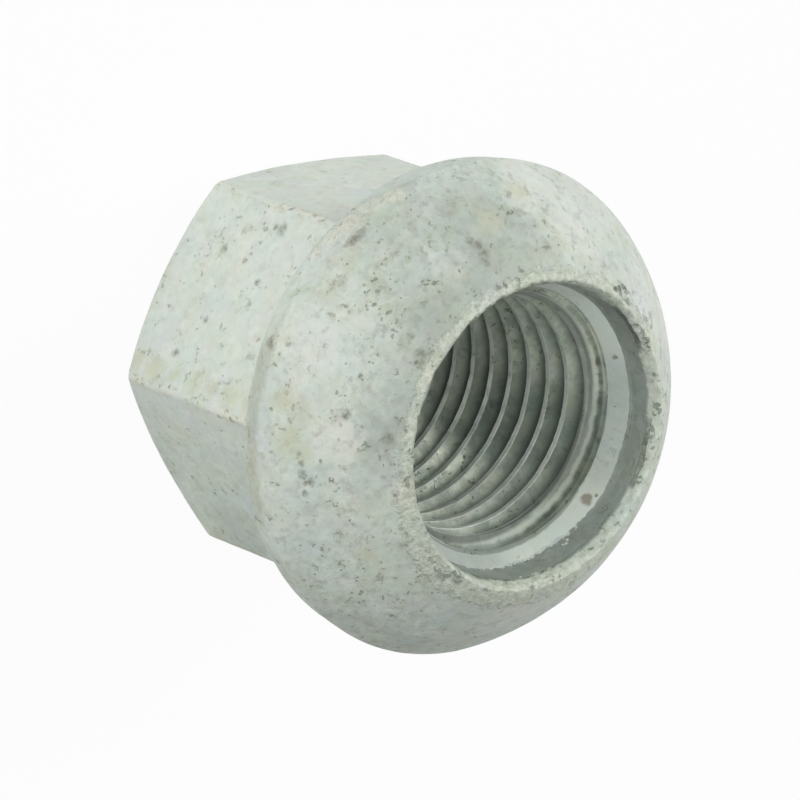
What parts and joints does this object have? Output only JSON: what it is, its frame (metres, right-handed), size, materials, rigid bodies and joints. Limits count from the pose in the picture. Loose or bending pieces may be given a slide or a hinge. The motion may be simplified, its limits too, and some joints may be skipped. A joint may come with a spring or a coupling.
{
  "type": "lug nut",
  "caption": "Open-ended wheel nut with a hexagon drive, a round flange with a spherical seat, a recessed mouth and a through thread.",
  "frame": {"origin": "centre of the plain hexagon end face, on the thread axis", "axes": "+Z along the thread axis, from the hexagon end to the ball seat and mouth; +X through a hexagon corner"},
  "size_m": [0.0256, 0.0256, 0.0215],
  "materials": {
    "zinc_flake_steel": "matt pale grey-green zinc flake coating on forged steel, lightly stained and flecked"
  },
  "bodies": {
    "root": {"lug_nut": "zinc_flake_steel"}
  },
  "joints": []
}
